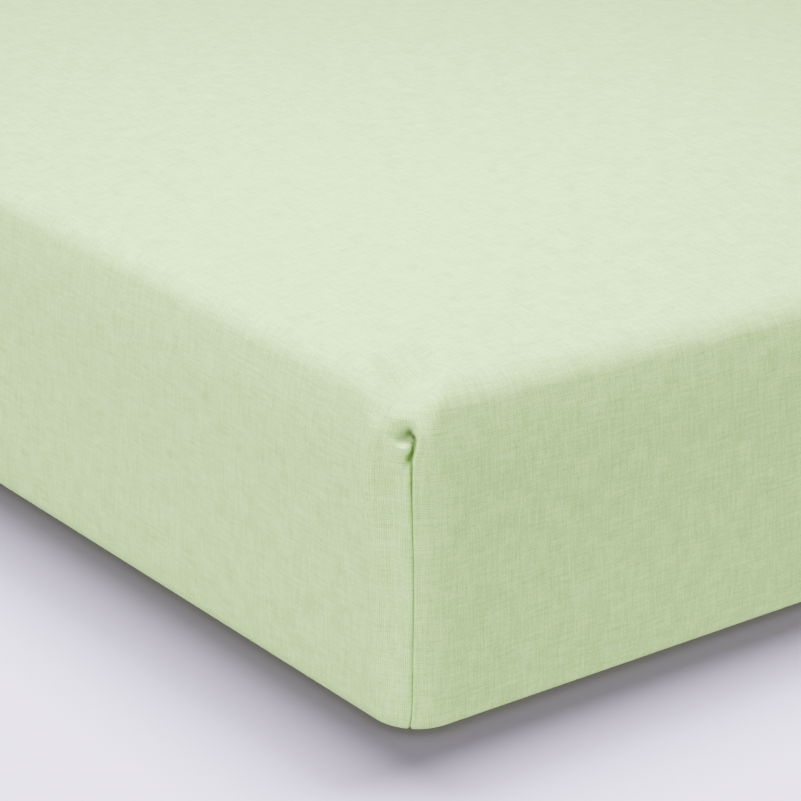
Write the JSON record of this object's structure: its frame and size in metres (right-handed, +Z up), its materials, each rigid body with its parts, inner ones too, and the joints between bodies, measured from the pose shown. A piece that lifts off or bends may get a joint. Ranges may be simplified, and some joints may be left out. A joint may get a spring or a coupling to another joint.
{
  "type": "fitted sheet on cot mattress",
  "caption": "Taut plain-weave cotton sheet with seamed box corners, fitted over a plain rectangular cot mattress and tucked under it all round.",
  "frame": {"origin": "the middle of the footprint, at the height of the surface that the mattress lies on", "axes": "+X along the mattress, +Y across it, +Z up out of the sleeping surface"},
  "size_m": [1.2, 0.6, 0.123],
  "materials": {
    "sheet_cotton": "fine plain-weave cotton, matt with a soft pale sheen, mint green",
    "mattress_cover": "plain off-white woven cover, matt"
  },
  "bodies": {
    "root": {"fitted_sheet": "sheet_cotton", "mattress": "mattress_cover"}
  },
  "joints": []
}
